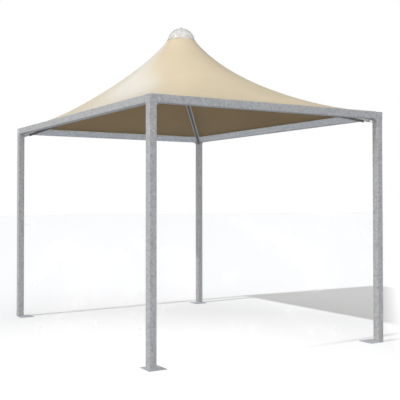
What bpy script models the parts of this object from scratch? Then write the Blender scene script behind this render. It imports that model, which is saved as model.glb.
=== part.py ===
"""Garden gazebo: a square-tube frame with a peaked membrane roof.

Four posts on base plates carry a ring of four beams. Four rafters rise from
the corners to a hub, and a short mast on the hub lifts the roof to a point,
where a clear dome covers the opening. Metres, +Z up, origin on the ground
under the middle of the roof. Front is -Y, left is -X.
"""
import math

import bmesh
import bpy
import numpy as np

# Overall sizes
WIDTH = 3.000            # outside of the frame along X
LENGTH = 4.000           # outside of the frame along Y
FRAME_TOP = 2.620        # top of the beams
GAP = 0.0003             # clearance that touching pieces keep

# Square tube of the posts and beams
TUBE = 0.080
TUBE_ROUND = 0.006       # rounding of its long edges
TUBE_ROUND_STEPS = 3

# Base plates, flush with the posts' outer faces
PLATE = 0.190
PLATE_THICK = 0.008
HOLE_RADIUS = 0.007
HOLE_INSET = 0.028       # hole centre to the nearest plate edges
HOLE_STEPS = 16

# Rounded gussets in the upper corners of each bay
GUSSET_LEG = 0.038
GUSSET_TIP = 0.004       # thickness that is left at the end of each leg
GUSSET_WIDTH = 0.060
GUSSET_STEPS = 8

# Rafters: a square strut under a flat strap, on the plan diagonals
RAFTER_SLOPE = 0.2623    # rise for each metre run
RAFTER_PEAK = 0.5036     # strut centre line over FRAME_TOP, carried on to the axis
STRUT = 0.028
STRAP_WIDTH = 0.060
STRAP_THICK = 0.008
STRUT_FOOT = 2.290       # outer end of the strut, from the axis
STRAP_FOOT = 2.352       # outer end of the strap, from the axis
SEAT_THICK = 0.008
SEAT_INNER = STRUT_FOOT + 0.004

# Hub, mast and roof head
HUB_REACH = 0.060        # axis to the faces that take the rafters
HUB_NOSE = 0.080         # half length of the hub along X
HUB_BELOW = 0.022        # hub past the rafter ends, below and above
HUB_ABOVE = 0.034
MAST_RADIUS = 0.03015
MAST_STEPS = 24
CROSS_ARM = 0.030
CROSS_THICK = 0.010
RING_INNER = 0.112
RING_OUTER = 0.1385
RING_HEIGHT = 0.014
CLAMP_INNER = 0.116
CLAMP_HEIGHT = 0.006
ROD_RADIUS = 0.008
ROD_STEPS = 16
ROD_DROP = 0.0005        # lowers the rod's flat end clear of the dome's curve

# Membrane roof
ROOF_INSET = 0.0615      # outer face of the frame to the membrane's edge
ROOF_EDGE = 2.628        # height of the membrane's edge
ROOF_RING = 0.1405       # radius of the opening at the head
ROOF_TOP = 3.692         # height of the opening
ROOF_PULL = 0.46         # sideways pull as a share of the pull towards the head
ROOF_THICK = 0.003
COLLAR_INNER = 0.118     # flat collar between the two rings
ROOF_STEPS = 14          # rows from head to edge
ROOF_CROWDING = 1.3      # over 1 sets the rows closer towards the head
ROOF_SIDE_STEPS = 16     # columns along each side
WAVES = 10               # cosine terms that straighten the edges
FIT_STEPS = 40           # points along each side that the terms are fitted to

# Edge rails on the beams
RAIL_WIDTH = 0.020
RAIL_HEIGHT = 0.011

# Clear dome and its knob
DOME_RADIUS = 0.171
DOME_HEIGHT = 0.146
DOME_WALL = 0.004
DOME_STEPS = 10
ROUND_STEPS = 40
KNOB_RADIUS = 0.014
KNOB_HEIGHT = 0.016
KNOB_STEPS = 20
KNOB_SHAPE = [(0, 1), (0.55, 0.92), (0.9, 0.6), (1, 0.25), (1, 0), (0, 0)]  # shares of the two

SMOOTH_DEGREES = 35      # sharper edges than this stay sharp

HALF_X = WIDTH / 2
HALF_Y = LENGTH / 2
BEAM_BOTTOM = FRAME_TOP - TUBE
DIAGONAL = math.hypot(HALF_X, HALF_Y)
CORNERS = {
    "front_left": (-1, -1),
    "front_right": (1, -1),
    "back_right": (1, 1),
    "back_left": (-1, 1),
}


def clear_scene():
    for item in list(bpy.data.objects):
        bpy.data.objects.remove(item, do_unlink=True)


def make_material(name, colour, roughness, metallic, alpha=1.0):
    material = bpy.data.materials.new(name)
    material.use_nodes = True
    shader = material.node_tree.nodes["Principled BSDF"]
    shader.inputs["Base Color"].default_value = (*colour, 1.0)
    shader.inputs["Roughness"].default_value = roughness
    shader.inputs["Metallic"].default_value = metallic
    shader.inputs["Alpha"].default_value = alpha
    return material


def make_object(name, build, material):
    """Make one mesh object from a bmesh that has its faces pointing out."""
    bmesh.ops.recalc_face_normals(build, faces=build.faces)
    mesh = bpy.data.meshes.new(name)
    build.to_mesh(mesh)
    build.free()
    piece = bpy.data.objects.new(name, mesh)
    piece.data.materials.append(material)
    bpy.context.collection.objects.link(piece)
    return piece


def smooth_round(piece):
    piece.data.shade_smooth()
    piece.data.set_sharp_from_angle(angle=math.radians(SMOOTH_DEGREES))


def prism(name, outline, low, high, material):
    """A flat outline of (x, y) points, extruded from low to high.

    low and high are numbers, or functions of x and y for a sloping plate.
    """
    build = bmesh.new()
    rings = []
    for level in (low, high):
        height = level if callable(level) else (lambda x, y, level=level: level)
        rings.append([build.verts.new((x, y, height(x, y))) for x, y in outline])
    build.faces.new(rings[0])
    build.faces.new(rings[1])
    for i in range(len(outline)):
        j = (i + 1) % len(outline)
        build.faces.new((rings[0][i], rings[0][j], rings[1][j], rings[1][i]))
    return make_object(name, build, material)


def box(name, low, high, material):
    outline = [(low[0], low[1]), (high[0], low[1]), (high[0], high[1]), (low[0], high[1])]
    return prism(name, outline, low[2], high[2], material)


def round_long_edges(piece, axis):
    """Bevel the four edges of a box that run along an axis."""
    build = bmesh.new()
    build.from_mesh(piece.data)
    along = [e for e in build.edges
             if abs((e.verts[0].co - e.verts[1].co).normalized()[axis]) > 0.99]
    bmesh.ops.bevel(build, geom=along, offset=TUBE_ROUND, segments=TUBE_ROUND_STEPS,
                    profile=0.5, affect="EDGES")
    build.to_mesh(piece.data)
    build.free()
    smooth_round(piece)


def lathe(name, profile, material, steps=ROUND_STEPS):
    """Spin a closed profile of (radius, height) points round the Z axis."""
    build = bmesh.new()
    rings = []
    for radius, height in profile:
        if radius == 0:
            rings.append([build.verts.new((0, 0, height))])
            continue
        rings.append([build.verts.new((radius * math.cos(2 * math.pi * k / steps),
                                       radius * math.sin(2 * math.pi * k / steps), height))
                      for k in range(steps)])
    for i in range(len(rings)):
        here, there = rings[i], rings[(i + 1) % len(rings)]
        if len(here) == 1 and len(there) == 1:
            continue
        for k in range(steps):
            n = (k + 1) % steps
            around = [here[k % len(here)], here[n % len(here)],
                      there[n % len(there)], there[k % len(there)]]
            build.faces.new(list(dict.fromkeys(around)))
    piece = make_object(name, build, material)
    smooth_round(piece)
    return piece


# Base plates and posts

def make_base_plate(corner, sx, sy, material):
    """A square plate with three anchor holes, clear of the post."""
    outer_x, outer_y = sx * HALF_X, sy * HALF_Y
    inner_x, inner_y = outer_x - sx * PLATE, outer_y - sy * PLATE
    low = (min(outer_x, inner_x), min(outer_y, inner_y), 0)
    high = (max(outer_x, inner_x), max(outer_y, inner_y), PLATE_THICK)
    plate = box("base_plate_" + corner, low, high, material)
    near, far = HOLE_INSET, PLATE - HOLE_INSET
    for number, (along_x, along_y) in enumerate([(far, near), (far, far), (near, far)]):
        bpy.ops.mesh.primitive_cylinder_add(
            vertices=HOLE_STEPS, radius=HOLE_RADIUS, depth=4 * PLATE_THICK,
            location=(outer_x - sx * along_x, outer_y - sy * along_y, PLATE_THICK / 2))
        cutter = bpy.context.object
        cutter.name = f"hole_cutter_{corner}_{number}"
        cutter.hide_render = True
        cutter.display_type = "WIRE"
        cut = plate.modifiers.new(f"hole_{number}", "BOOLEAN")
        cut.operation = "DIFFERENCE"
        cut.solver = "EXACT"
        cut.object = cutter


def make_post(corner, sx, sy, material):
    x, y = sx * (HALF_X - TUBE / 2), sy * (HALF_Y - TUBE / 2)
    post = box("post_" + corner,
               (x - TUBE / 2, y - TUBE / 2, PLATE_THICK + GAP),
               (x + TUBE / 2, y + TUBE / 2, BEAM_BOTTOM - GAP), material)
    round_long_edges(post, 2)


# Beams, with the front and back ones running over the posts

def make_beams(material):
    for name, sy in (("beam_front", -1), ("beam_back", 1)):
        y = sy * (HALF_Y - TUBE / 2)
        beam = box(name, (-HALF_X, y - TUBE / 2, BEAM_BOTTOM),
                   (HALF_X, y + TUBE / 2, FRAME_TOP), material)
        round_long_edges(beam, 0)
    for name, sx in (("beam_left", -1), ("beam_right", 1)):
        x = sx * (HALF_X - TUBE / 2)
        reach = HALF_Y - TUBE - GAP
        beam = box(name, (x - TUBE / 2, -reach, BEAM_BOTTOM),
                   (x + TUBE / 2, reach, FRAME_TOP), material)
        round_long_edges(beam, 1)


def make_gusset(name, corner, along, material):
    """A quarter-round web between a post and a beam.

    corner is the inner edge (x, y) of the post, and along is the unit
    direction (x, y) in which the beam leaves it.
    """
    leg, tip = GUSSET_LEG, GUSSET_TIP
    profile = [(0, 0), (leg, 0)]
    for k in range(GUSSET_STEPS + 1):
        turn = math.pi / 2 * (1 + k / GUSSET_STEPS)
        profile.append((leg + (leg - tip) * math.cos(turn), -leg + (leg - tip) * math.sin(turn)))
    profile.append((0, -leg))
    across = (-along[1], along[0])
    build = bmesh.new()
    sides = []
    for side in (-GUSSET_WIDTH / 2, GUSSET_WIDTH / 2):
        ring = []
        for run, drop in profile:
            run += GAP
            ring.append(build.verts.new((corner[0] + along[0] * run + across[0] * side,
                                         corner[1] + along[1] * run + across[1] * side,
                                         BEAM_BOTTOM - GAP + drop)))
        sides.append(ring)
    build.faces.new(sides[0])
    build.faces.new(sides[1])
    for i in range(len(profile)):
        j = (i + 1) % len(profile)
        build.faces.new((sides[0][i], sides[0][j], sides[1][j], sides[1][i]))
    make_object(name, build, material)


def make_gussets(corner, sx, sy, material):
    middle_x, middle_y = sx * (HALF_X - TUBE / 2), sy * (HALF_Y - TUBE / 2)
    inner_x, inner_y = sx * (HALF_X - TUBE), sy * (HALF_Y - TUBE)
    make_gusset("gusset_wide_" + corner, (inner_x, middle_y), (-sx, 0), material)
    make_gusset("gusset_long_" + corner, (middle_x, inner_y), (0, -sy), material)


# Rafters on the plan diagonals

def rafter_height(run):
    """Height of the strut's centre line at a distance from the axis."""
    return FRAME_TOP + RAFTER_PEAK - RAFTER_SLOPE * run


def sloping(direction, lift):
    """A height function for a plate that follows the rafter's slope."""
    return lambda x, y: rafter_height(x * direction[0] + y * direction[1]) + lift


def diagonal_bar(name, direction, start, end, width, low, high, material):
    across = (-direction[1], direction[0])
    outline = []
    for run, side in ((start, -1), (end, -1), (end, 1), (start, 1)):
        outline.append((direction[0] * run + across[0] * side * width / 2,
                        direction[1] * run + across[1] * side * width / 2))
    prism(name, outline, sloping(direction, low), sloping(direction, high), material)


def make_rafter(corner, sx, sy, strut_material, strap_material):
    direction = (sx * HALF_X / DIAGONAL, sy * HALF_Y / DIAGONAL)
    start = HUB_REACH + GAP
    top = STRUT / 2
    diagonal_bar("rafter_" + corner, direction, start, STRUT_FOOT, STRUT, -top, top,
                 strut_material)
    diagonal_bar("rafter_strap_" + corner, direction, start, STRAP_FOOT, STRAP_WIDTH,
                 top + GAP, top + GAP + STRAP_THICK, strap_material)


def make_rafter_seat(corner, sx, sy, material):
    """A plate from the post's inner edge, under the end of the strap."""
    direction = (sx * HALF_X / DIAGONAL, sy * HALF_Y / DIAGONAL)
    across = (-direction[1], direction[0])
    face_x, face_y = sx * (HALF_X - TUBE - GAP), sy * (HALF_Y - TUBE - GAP)
    outline = []
    for side in (-1, 1):
        inner = (direction[0] * SEAT_INNER + across[0] * side * STRAP_WIDTH / 2,
                 direction[1] * SEAT_INNER + across[1] * side * STRAP_WIDTH / 2)
        to_face_x = (face_x - inner[0]) / direction[0]
        to_face_y = (face_y - inner[1]) / direction[1]
        reach = min(to_face_x, to_face_y)
        outer = (inner[0] + direction[0] * reach, inner[1] + direction[1] * reach)
        outline += [inner, outer] if side == -1 else [(face_x, face_y), outer, inner]
    under = STRUT / 2 - GAP
    prism("rafter_seat_" + corner, outline, sloping(direction, under - SEAT_THICK),
          sloping(direction, under), material)


# Hub, mast and the head that holds the membrane

def make_hub(material):
    """A block with one face square to each rafter."""
    slant_x, slant_y = HALF_X / DIAGONAL, HALF_Y / DIAGONAL
    tip = HUB_REACH / slant_y
    nose = (HUB_REACH - slant_x * HUB_NOSE) / slant_y
    outline = [(HUB_NOSE, nose), (0, tip), (-HUB_NOSE, nose),
               (-HUB_NOSE, -nose), (0, -tip), (HUB_NOSE, -nose)]
    middle = rafter_height(HUB_REACH)
    prism("hub", outline, middle - HUB_BELOW, middle + HUB_ABOVE, material)
    return middle + HUB_ABOVE


def make_head(hub_top, material, rail_material):
    collar_bottom = ROOF_TOP - ROOF_THICK
    ring_top = collar_bottom - GAP
    ring_bottom = ring_top - RING_HEIGHT
    cross_top = ring_bottom - GAP
    cross_bottom = cross_top - CROSS_THICK
    lathe("mast", [(0, cross_bottom - GAP), (MAST_RADIUS, cross_bottom - GAP),
                   (MAST_RADIUS, hub_top + GAP), (0, hub_top + GAP)], material, MAST_STEPS)
    arm, reach = CROSS_ARM / 2, RING_OUTER - GAP
    cross = [(reach, arm), (arm, arm), (arm, reach), (-arm, reach), (-arm, arm), (-reach, arm),
             (-reach, -arm), (-arm, -arm), (-arm, -reach), (arm, -reach), (arm, -arm),
             (reach, -arm)]
    prism("head_cross", cross, cross_bottom, cross_top, material)
    lathe("head_ring", [(RING_INNER, ring_bottom), (RING_OUTER, ring_bottom),
                        (RING_OUTER, ring_top), (RING_INNER, ring_top)], material)
    clamp_bottom = ROOF_TOP + GAP
    lathe("clamp_ring", [(CLAMP_INNER, clamp_bottom), (RING_OUTER, clamp_bottom),
                         (RING_OUTER, clamp_bottom + CLAMP_HEIGHT),
                         (CLAMP_INNER, clamp_bottom + CLAMP_HEIGHT)], rail_material)
    return cross_top


# Membrane roof: a log-like cone, bent by cosine terms to meet straight edges

SPAN = math.hypot(HALF_X - ROOF_INSET, HALF_Y - ROOF_INSET)
DOME_SEAT = (DOME_RADIUS - DOME_WALL) * math.cos(math.pi / ROUND_STEPS)


def edge_distance(angle):
    """Distance from the axis to the membrane's edge in a direction."""
    half_x, half_y = HALF_X - ROOF_INSET, HALF_Y - ROOF_INSET
    return min(half_x / max(abs(math.cos(angle)), 1e-9),
               half_y / max(abs(math.sin(angle)), 1e-9))


def roof_terms(radius, angle):
    """Shapes of a stretched sheet that are level at the head ring."""
    power = 1 - ROOF_PULL
    terms = [(radius / SPAN) ** power - (ROOF_RING / SPAN) ** power]
    for k in range(1, WAVES + 1):
        root = math.sqrt(power ** 2 + 4 * ROOF_PULL * (2 * k) ** 2)
        rise, fall = (power + root) / 2, (power - root) / 2
        wave = (radius / SPAN) ** rise - (ROOF_RING / SPAN) ** rise * (radius / ROOF_RING) ** fall
        terms.append(wave * math.cos(2 * k * angle))
    return terms


def roof_angles(steps):
    """Directions that divide each side evenly in angle and include the corners."""
    corner = math.atan2(HALF_Y - ROOF_INSET, HALF_X - ROOF_INSET)
    stops = [-corner, corner, math.pi - corner, math.pi + corner, 2 * math.pi - corner]
    return [a + (b - a) * k / steps for a, b in zip(stops, stops[1:]) for k in range(steps)]


def roof_weights():
    """Fit the terms so that the whole edge lies at ROOF_EDGE."""
    angles = roof_angles(FIT_STEPS)
    table = np.array([roof_terms(edge_distance(a), a) for a in angles])
    drop = np.full(len(angles), ROOF_EDGE - ROOF_TOP)
    return np.linalg.lstsq(table, drop, rcond=None)[0]


def roof_height(weights, radius, angle):
    return ROOF_TOP + float(np.dot(roof_terms(radius, angle), weights))


def make_canopy(weights, material):
    angles = roof_angles(ROOF_SIDE_STEPS)
    build = bmesh.new()
    sheets = []
    for drop in (0, ROOF_THICK):
        rows = [[(radius, ROOF_TOP) for _ in angles] for radius in (COLLAR_INNER, ROOF_RING)]
        for step in range(ROOF_STEPS + 1):
            share = (step / ROOF_STEPS) ** ROOF_CROWDING
            row = []
            for angle in angles:
                radius = DOME_SEAT + (edge_distance(angle) - DOME_SEAT) * share
                height = ROOF_EDGE if step == ROOF_STEPS else roof_height(weights, radius, angle)
                row.append((radius, height))
            rows.append(row)
        sheets.append([[build.verts.new((r * math.cos(a), r * math.sin(a), z - drop))
                        for (r, z), a in zip(row, angles)] for row in rows])
    top, bottom = sheets
    count = len(angles)
    for k in range(count):
        n = (k + 1) % count
        for sheet in sheets:
            for inner, outer in zip(sheet, sheet[1:]):
                build.faces.new((inner[k], outer[k], outer[n], inner[n]))
        build.faces.new((top[-1][k], bottom[-1][k], bottom[-1][n], top[-1][n]))
        build.faces.new((top[0][k], top[0][n], bottom[0][n], bottom[0][k]))
    canopy = make_object("canopy", build, material)
    smooth_round(canopy)


def make_rails(material):
    """Flat rails on the beams that take the membrane's edge."""
    inner = ROOF_INSET - GAP
    outer = inner - RAIL_WIDTH
    low, high = FRAME_TOP + GAP, FRAME_TOP + GAP + RAIL_HEIGHT
    for name, sy in (("rail_front", -1), ("rail_back", 1)):
        ys = sorted((sy * (HALF_Y - inner), sy * (HALF_Y - outer)))
        reach = HALF_X - outer
        box(name, (-reach, ys[0], low), (reach, ys[1], high), material)
    for name, sx in (("rail_left", -1), ("rail_right", 1)):
        xs = sorted((sx * (HALF_X - inner), sx * (HALF_X - outer)))
        reach = HALF_Y - inner - GAP
        box(name, (xs[0], -reach, low), (xs[1], reach, high), material)


# Clear dome over the opening, held by a rod and a knob

def dome_profile(radius, height, base):
    """Points of a spherical cap from its rim up to its top."""
    ball = (radius ** 2 + height ** 2) / (2 * height)
    centre = base + height - ball
    rim = math.asin(max(-1, min(1, (base - centre) / ball)))
    points = []
    for k in range(DOME_STEPS + 1):
        turn = rim + (math.pi / 2 - rim) * k / DOME_STEPS
        points.append((0 if k == DOME_STEPS else ball * math.cos(turn),
                       centre + ball * math.sin(turn)))
    return points


def make_dome(weights, cross_top, dome_material, steel):
    rim = max(roof_height(weights, DOME_SEAT, a) for a in roof_angles(ROOF_SIDE_STEPS)) + GAP
    outer = dome_profile(DOME_RADIUS, DOME_HEIGHT, rim)
    inner = dome_profile(DOME_RADIUS - DOME_WALL, DOME_HEIGHT - DOME_WALL, rim)
    lathe("dome_cap", outer + inner[::-1], dome_material)
    rod_top = inner[-1][1] - GAP - ROD_DROP
    lathe("dome_rod", [(0, rod_top), (ROD_RADIUS, rod_top), (ROD_RADIUS, cross_top + GAP),
                       (0, cross_top + GAP)], steel, ROD_STEPS)
    base = outer[-1][1] + GAP
    knob = [(KNOB_RADIUS * out, base + KNOB_HEIGHT * up) for out, up in KNOB_SHAPE]
    lathe("dome_knob", knob, steel, KNOB_STEPS)


def main():
    clear_scene()
    zinc = make_material("galvanised_steel", (0.52, 0.54, 0.56), 0.45, 0.6)
    dark = make_material("dark_steel", (0.05, 0.05, 0.055), 0.40, 0.5)
    rail = make_material("aluminium", (0.75, 0.75, 0.74), 0.35, 0.9)
    membrane = make_material("beige_membrane", (0.72, 0.62, 0.45), 0.55, 0.0)
    acrylic = make_material("clear_acrylic", (0.92, 0.93, 0.93), 0.08, 0.0, 0.45)
    for corner, (sx, sy) in CORNERS.items():
        make_base_plate(corner, sx, sy, zinc)
        make_post(corner, sx, sy, zinc)
        make_gussets(corner, sx, sy, zinc)
        make_rafter(corner, sx, sy, dark, zinc)
        make_rafter_seat(corner, sx, sy, zinc)
    make_beams(zinc)
    make_rails(rail)
    hub_top = make_hub(zinc)
    cross_top = make_head(hub_top, zinc, rail)
    weights = roof_weights()
    make_canopy(weights, membrane)
    make_dome(weights, cross_top, acrylic, zinc)


main()
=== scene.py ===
# %% [markdown]
# # A garden gazebo with a stretched membrane roof
#
# The real object is a light pavilion: galvanised square tube stands on four base plates, and a coated
# fabric is pulled from the beams up to a ring on a short mast. A clear dome closes the ring.
# The imported CAD model holds the tube frame in true size, so it is loaded first and never moved.
# This notebook gives its steel a finish and models what a plain solid can't show.

import math

import bmesh
import bpy
import numpy as np
from mathutils import Matrix, Vector


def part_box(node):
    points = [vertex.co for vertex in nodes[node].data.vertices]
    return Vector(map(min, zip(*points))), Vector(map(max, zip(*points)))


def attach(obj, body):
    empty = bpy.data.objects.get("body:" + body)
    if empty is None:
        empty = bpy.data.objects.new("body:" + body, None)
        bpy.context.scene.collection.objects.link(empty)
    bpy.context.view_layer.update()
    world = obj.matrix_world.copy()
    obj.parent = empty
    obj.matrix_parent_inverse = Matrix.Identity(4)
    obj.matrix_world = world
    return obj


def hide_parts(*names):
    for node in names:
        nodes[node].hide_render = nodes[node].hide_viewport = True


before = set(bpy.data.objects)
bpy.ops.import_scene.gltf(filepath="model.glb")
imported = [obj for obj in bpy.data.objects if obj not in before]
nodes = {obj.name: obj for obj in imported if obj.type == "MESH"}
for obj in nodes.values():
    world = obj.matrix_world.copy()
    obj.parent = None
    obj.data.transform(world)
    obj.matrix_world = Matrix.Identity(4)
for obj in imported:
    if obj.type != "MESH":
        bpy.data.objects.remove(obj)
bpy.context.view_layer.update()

# %% [markdown]
# ## Camera
#
# The camera stands where the photographer's eye was, found by matching the straight edges of the posts
# and beams. A little lens shift keeps the posts upright in the frame, as a view camera would.

# %% Camera at the photographer's place
IMAGE = 400                       # pixels along each side of the picture
FOCAL_PIXELS = 755.34
EYE = (-4.797, -8.310, 1.591)
TURN, TILT = 0.52387, 0.02014     # radians to the right of +Y, and upwards
CENTRE = (181.433, 186.910)       # where the lens axis meets the picture

lens = bpy.data.cameras.new("camera")
lens.sensor_width = 36
lens.lens = FOCAL_PIXELS / IMAGE * lens.sensor_width
lens.shift_x = (IMAGE / 2 - CENTRE[0]) / IMAGE
lens.shift_y = (CENTRE[1] - IMAGE / 2) / IMAGE
camera = bpy.data.objects.new("camera", lens)
camera.location = EYE
camera.rotation_euler = (math.pi / 2 + TILT, 0, -TURN)
bpy.context.scene.collection.objects.link(camera)
bpy.context.scene.camera = camera
print("lens", round(lens.lens, 1), "mm")

# %% [markdown]
# ## Helpers
#
# A few short functions keep the cells below readable: two handle the selection and the name of a new
# piece, the others build materials and node trees with their values beside them.

# %% Helpers for selection, materials and nodes
def nothing_selected():
    """Leave edit mode and deselect all, so that the next operator acts on its own piece."""
    if bpy.context.object and bpy.context.object.mode != "OBJECT":
        bpy.ops.object.mode_set(mode="OBJECT")
    bpy.ops.object.select_all(action="DESELECT")


def new_piece(name):
    """The object that an operator has just made, under its own name."""
    piece = bpy.context.object
    piece.name = piece.data.name = name
    return piece


def set_inputs(node, values):
    """Set a node's sockets, named such as Base_Color."""
    for socket, value in values.items():
        node.inputs[socket.replace("_", " ")].default_value = value


def wire(tree, node, **sources):
    """Link sources to a node's sockets, named such as Base_Color."""
    for socket, source in sources.items():
        tree.links.new(source, node.inputs[socket.replace("_", " ")])


def new_material(name, **values):
    """A material whose Principled sockets are set by name."""
    material = bpy.data.materials.new(name)
    material.use_nodes = True
    shader = material.node_tree.nodes["Principled BSDF"]
    set_inputs(shader, values)
    return material, material.node_tree, shader


def new_group(name, inputs, outputs):
    """A node group with value inputs (name, default) and value outputs."""
    group = bpy.data.node_groups.new(name, "ShaderNodeTree")
    for title, default in inputs:
        socket = group.interface.new_socket(title, in_out="INPUT", socket_type="NodeSocketFloat")
        socket.default_value = default
    for title in outputs:
        group.interface.new_socket(title, in_out="OUTPUT", socket_type="NodeSocketFloat")
    return group, group.nodes.new("NodeGroupInput"), group.nodes.new("NodeGroupOutput")


def add(tree, kind, links=(), **settings):
    """A node of a kind, with its settings and with links given as (input, output socket or value)."""
    node = tree.nodes.new("ShaderNode" + kind)
    for key, value in settings.items():
        setattr(node, key, value)
    for socket, source in links:
        if isinstance(source, bpy.types.NodeSocket):
            tree.links.new(source, node.inputs[socket])
        else:
            node.inputs[socket].default_value = source
    return node


def math_node(tree, operation, a, b=0.0, clamp=False):
    return add(tree, "Math", [(0, a), (1, b)], operation=operation, use_clamp=clamp).outputs[0]


def place(tree, scale=(1, 1, 1)):
    """Object coordinates, stretched by a scale for each axis."""
    coordinates = add(tree, "TexCoord").outputs["Object"]
    return add(tree, "Mapping", [("Vector", coordinates), ("Scale", scale)]).outputs["Vector"]


def object_height(tree):
    """The Z of Object coordinates, which is the height over the ground on every finished piece."""
    return add(tree, "SeparateXYZ", [(0, add(tree, "TexCoord").outputs["Object"])]).outputs["Z"]


def noise(tree, spot, scale, detail, roughness=0.5):
    return add(tree, "TexNoise", [("Vector", spot), ("Scale", scale), ("Detail", detail),
                                  ("Roughness", roughness)])


def remap(tree, value, low, high, new_low=0.0, new_high=1.0):
    return add(tree, "MapRange", [("Value", value), ("From Min", low), ("From Max", high),
                                  ("To Min", new_low), ("To Max", new_high)]).outputs["Result"]


print("node helpers ready")

# %% [markdown]
# ## Floor and light
#
# The picture has a white studio floor and one low, clear light from the left, which draws thin shadows
# of the posts towards the right. A sun lamp gives parallel rays, so the shadow keeps its shape, and a
# small angle keeps its edge soft. The white world is a little brighter on the sun's side.
#
# As in a studio picture, the floor is burnt out to pure white round the front post and far to the right,
# and keeps a tone where the shadow falls. There it reflects for the camera, and where it is burnt out it
# glows instead. The light that it sends up under the roof has a tone of its own.

# %% Studio floor
FLOOR_SIZE = 160
FLOOR_TONE = 0.765                # as the camera sees it
FLOOR_BOUNCE = 0.505              # as it lights the object
BURNT_SPOT = (-1.5, -2.0, 0.0)    # foot of the front post
BURNT_REACH = (1.8, 4.1)          # from the spot: all white up to the first, none past the second
RIGHTWARDS = (1, -1, 0)           # across the picture
BURNT_RIGHT = (3.4, 3.85)         # along rightwards: none up to the first, all white past the second
BURNT_GLOW = 1.03

nothing_selected()
bpy.ops.mesh.primitive_plane_add(size=FLOOR_SIZE)
floor = new_piece("studio_floor")
paint, tree, shader = new_material("studio_floor", Roughness=0.9, Specular_IOR_Level=0.1,
                                   Emission_Color=(1, 1, 1, 1))
seen = add(tree, "LightPath").outputs["Is Camera Ray"]
spot = add(tree, "TexCoord").outputs["Object"]
away = add(tree, "VectorMath", [(0, spot), (1, BURNT_SPOT)], operation="DISTANCE").outputs["Value"]
right = add(tree, "VectorMath", [(0, spot), (1, RIGHTWARDS)], operation="DOT_PRODUCT").outputs["Value"]
burnt = math_node(tree, "MAXIMUM", remap(tree, away, *BURNT_REACH, 1.0, 0.0),
                  remap(tree, right, *BURNT_RIGHT))
tone = remap(tree, burnt, 0.0, 1.0, FLOOR_TONE, 0.0)
tone = add(tree, "Mix", [("Factor", seen), ("A", FLOOR_BOUNCE), ("B", tone)]).outputs["Result"]
glow = math_node(tree, "MULTIPLY", seen, math_node(tree, "MULTIPLY", burnt, BURNT_GLOW))
wire(tree, shader, Base_Color=tone, Emission_Strength=glow)
floor.data.materials.append(paint)
print("floor of", FLOOR_SIZE, "m")

# %% [markdown]
# The lamps are all suns, so each lights every piece from one direction. The rim light only shows in the
# roof's gloss, the fill lifts the cloth and steel that face the camera, and three soft lamps without
# shadows stand in for the white cards that a photographer would hold beside dull steel. A second sun
# lights the floor alone, a little bluer, so that the shadow stays clear and the floor neutral.

# %% Lamps and sky
WHITE = (1, 1, 1)
SUN_FROM = (-0.845, -0.070, 0.530)
LAMPS = {                         # direction towards the lamp, power, colour, degrees across
    "sun": (SUN_FROM, 1.31, (1.0, 0.955, 0.895), 0.6),
    "rim_light": ((0.216, 0.826, 0.53), 0.095, (0.42, 0.66, 1.0), 14),
    "fill_light": ((-0.45, -0.88, 0.04), 0.9, WHITE, 40),
    "card_light": ((-0.58, -0.27, 0.77), 2.06, (1.0, 0.90, 0.72), 40),
    "back_card_light": ((0.66, 0.74, 0.12), 1.3, WHITE, 40),
    "inner_card_light": ((-0.76, -0.62, 0.10), 2.85, (0.79, 0.90, 1.0), 40),
    "floor_sun": (SUN_FROM, 2.95, (0.95, 0.97, 1.0), 0.6)}
SKY_BRIGHT, SKY_DIM = 0.84, 0.69  # towards the sun, and away from it
GLOSS_HEIGHTS = (0.15, 0.45)      # what glossy faces mirror changes between these heights of the sky
SKY_IN_GLOSS = (0.46, 0.23)       # below the first height, and above the second


def sun_lamp(name, come_from, power, colour, across):
    lamp = bpy.data.objects.new(name, bpy.data.lights.new(name, "SUN"))
    lamp.data.energy = power
    lamp.data.color = colour
    lamp.data.angle = math.radians(across)
    lamp.rotation_euler = Vector(come_from).to_track_quat("Z", "Y").to_euler()
    bpy.context.scene.collection.objects.link(lamp)
    return lamp


def light_only(linked_lamps, name, pieces, but_these=False):
    """Let lamps light only some pieces, or all pieces but these."""
    group = bpy.data.collections.new(name)
    for piece in pieces:
        group.objects.link(piece)
    if but_these:
        for entry in group.collection_objects:
            entry.light_linking.link_state = "EXCLUDE"
    for lamp in linked_lamps:
        lamp.light_linking.receiver_collection = group


made = [sun_lamp(name, *values) for name, values in LAMPS.items()]
_, rim, fill, card, back_card, inner_card, floor_sun = made
rim.visible_diffuse = False
for lamp in (fill, card, back_card, inner_card):
    lamp.data.use_shadow = False
for lamp in (back_card, inner_card):
    lamp.visible_glossy = False
light_only([floor_sun], "lit_by_floor_sun", [floor])

world = bpy.data.worlds.new("white_studio")
world.use_nodes = True
sky = world.node_tree
direction = add(sky, "TexCoord").outputs["Generated"]
toward = add(sky, "VectorMath", [(0, direction), (1, SUN_FROM)], operation="DOT_PRODUCT").outputs["Value"]
height = add(sky, "SeparateXYZ", [(0, direction)]).outputs["Z"]
level = remap(sky, toward, -1, 1, SKY_DIM, SKY_BRIGHT)
in_gloss = remap(sky, height, *GLOSS_HEIGHTS, *SKY_IN_GLOSS)
rays = add(sky, "LightPath").outputs
for ray, strength in (("Is Glossy Ray", in_gloss), ("Is Transmission Ray", 1.0), ("Is Camera Ray", 1.0)):
    level = add(sky, "Mix", [("Factor", rays[ray]), ("A", level), ("B", strength)]).outputs["Result"]
set_inputs(sky.nodes["Background"], {"Color": (1, 1, 1, 1)})
wire(sky, sky.nodes["Background"], Strength=level)
bpy.context.scene.world = world
bpy.context.scene.view_settings.view_transform = "Standard"
print(len(made), "lamps, sun from", SUN_FROM)

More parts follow.
